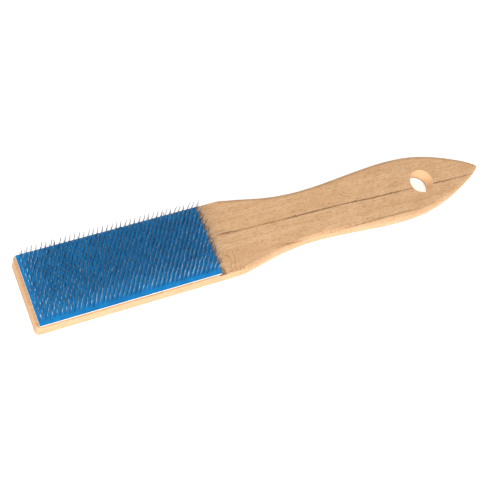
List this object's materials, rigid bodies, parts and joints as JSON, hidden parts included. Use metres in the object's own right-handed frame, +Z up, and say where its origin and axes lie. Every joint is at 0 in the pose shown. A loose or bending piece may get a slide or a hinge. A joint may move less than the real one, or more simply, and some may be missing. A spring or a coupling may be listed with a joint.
{
  "type": "file card",
  "caption": "Flat wooden paddle with a waisted, pointed grip and hanging hole; its square head carries a strip of blue rubber-faced wire card clothing for brushing filings out of files",
  "frame": {"origin": "on the flat back, under the middle of the board's length and width", "axes": "+X along the board from the head to the pointed end, +Y across the board, +Z up from the flat back through the wire face"},
  "size_m": [0.265, 0.04, 0.0222],
  "materials": {
    "beech": "matte",
    "glue": "satin",
    "cotton": "matte",
    "rubber": "satin",
    "wire": "satin"
  },
  "bodies": {
    "root": {"handle_board": "beech", "glue_bed": "glue", "cotton_ply_1": "cotton", "cotton_ply_2": "cotton", "cotton_ply_3": "cotton", "rubber_face": "rubber", "wire_row_01": "wire", "wire_row_02": "wire", "wire_row_03": "wire", "wire_row_04": "wire", "wire_row_05": "wire", "wire_row_06": "wire", "wire_row_07": "wire", "wire_row_08": "wire", "wire_row_09": "wire", "wire_row_10": "wire", "wire_row_11": "wire", "wire_row_12": "wire", "wire_row_13": "wire", "wire_row_14": "wire", "wire_row_15": "wire", "wire_row_16": "wire", "wire_row_17": "wire", "wire_row_18": "wire", "wire_row_19": "wire", "wire_row_20": "wire", "wire_row_21": "wire", "wire_row_22": "wire", "wire_row_23": "wire", "wire_row_24": "wire", "wire_row_25": "wire", "wire_row_26": "wire", "wire_row_27": "wire", "wire_row_28": "wire", "wire_row_29": "wire", "wire_row_30": "wire", "wire_row_31": "wire", "wire_row_32": "wire", "wire_row_33": "wire", "wire_row_34": "wire", "wire_row_35": "wire", "wire_row_36": "wire", "wire_row_37": "wire", "wire_row_38": "wire", "wire_row_39": "wire"}
  },
  "joints": []
}
